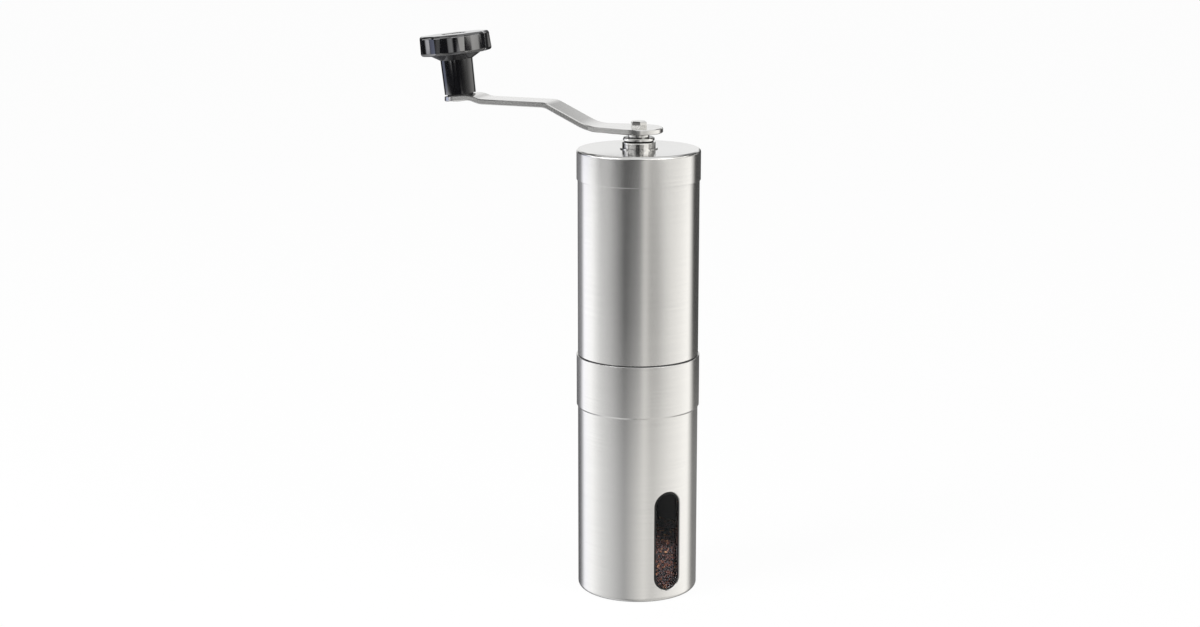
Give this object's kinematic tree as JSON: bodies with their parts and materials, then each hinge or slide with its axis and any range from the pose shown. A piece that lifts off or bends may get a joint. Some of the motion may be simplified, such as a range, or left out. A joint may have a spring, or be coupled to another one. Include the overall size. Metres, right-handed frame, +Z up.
{
  "type": "hand crank coffee grinder",
  "caption": "Slim cylindrical hand crank coffee grinder in brushed steel with a lift-off lid, bent crank arm, fluted black knob, windowed grounds chamber and a conical burr mill inside.",
  "frame": {"origin": "centre of the flat base, on the axis of the shaft", "axes": "+Z up the shaft, the crank at rest along -X, -Y towards the front"},
  "size_m": [0.1133, 0.047, 0.2136],
  "materials": {
    "brushed_steel": "fine brushing round the tube",
    "polished_steel": "polished",
    "shaft_steel": "turned",
    "spring_steel": "bright drawn",
    "black_plastic": "fine matt",
    "gloss_black": "gloss",
    "black_rubber": "matt",
    "clear_pane": "clear moulded",
    "white_ceramic": "fired, unglazed",
    "brass": "machined",
    "bearing_plastic": "smooth acetal",
    "ground_coffee": "loose granules"
  },
  "bodies": {
    "chamber": {"chamber_shell": "brushed_steel", "chamber_liner": "black_plastic", "window_seal": "black_rubber", "window_pane": "clear_pane", "coffee_grounds": "ground_coffee"},
    "hopper": {"hopper_tube": "brushed_steel", "burr_housing": "black_plastic", "outer_burr": "white_ceramic", "burr_retainer": "spring_steel", "lower_bush": "bearing_plastic", "shaft_bridge": "black_plastic", "upper_bush": "bearing_plastic"},
    "spindle": {"drive_shaft": "shaft_steel", "thrust_washer": "spring_steel", "spring_washer": "spring_steel", "shaft_clip": "spring_steel", "burr_spring": "spring_steel"},
    "burr": {"inner_burr": "white_ceramic", "burr_core": "black_plastic"},
    "dial": {"grind_dial": "black_plastic", "dial_nut": "brass"},
    "lid": {"lid_shell": "polished_steel", "lid_bush": "polished_steel", "bush_ring": "spring_steel", "lid_plug": "black_plastic"},
    "crank": {"crank_arm": "polished_steel", "knob_pin": "shaft_steel", "knob_washer": "black_plastic", "pin_nut": "spring_steel"},
    "knob": {"knob_grip": "gloss_black", "knob_cap": "gloss_black"}
  },
  "joints": [
    {"name": "hopper_lift", "type": "slide", "parent": "chamber", "child": "hopper", "axis": [0, 0, 1], "range_m": [0, 0.06]},
    {"name": "crank_spin", "type": "hinge", "parent": "hopper", "child": "spindle", "pos_m": [0, 0, 0.1], "axis": [0, 0, 1], "continuous": true},
    {"name": "handle_lift", "type": "slide", "parent": "spindle", "child": "crank", "axis": [0, 0, 1], "range_m": [0, 0.1]},
    {"name": "lid_lift", "type": "slide", "parent": "hopper", "child": "lid", "axis": [0, 0, 1], "range_m": [0, 0.05]},
    {"name": "knob_spin", "type": "hinge", "parent": "crank", "child": "knob", "pos_m": [-0.0737, 0, 0.18889], "axis": [-0.1132, 0, 0.9936], "continuous": true},
    {"name": "burr_drop", "type": "slide", "parent": "spindle", "child": "burr", "axis": [0, 0, -1], "range_m": [-0.0008, 0.0016], "deforming": ["burr_spring"]},
    {"name": "dial_turn", "type": "hinge", "parent": "burr", "child": "dial", "pos_m": [0, 0, 0.07], "axis": [0, 0, -1], "range_deg": [-360, 720]}
  ],
  "couplings": [
    {"joint": "lid_lift", "follows": "handle_lift", "ratio": 0.5},
    {"joint": "dial_turn", "follows": "burr_drop", "rad_per_m": 7853.9}
  ]
}
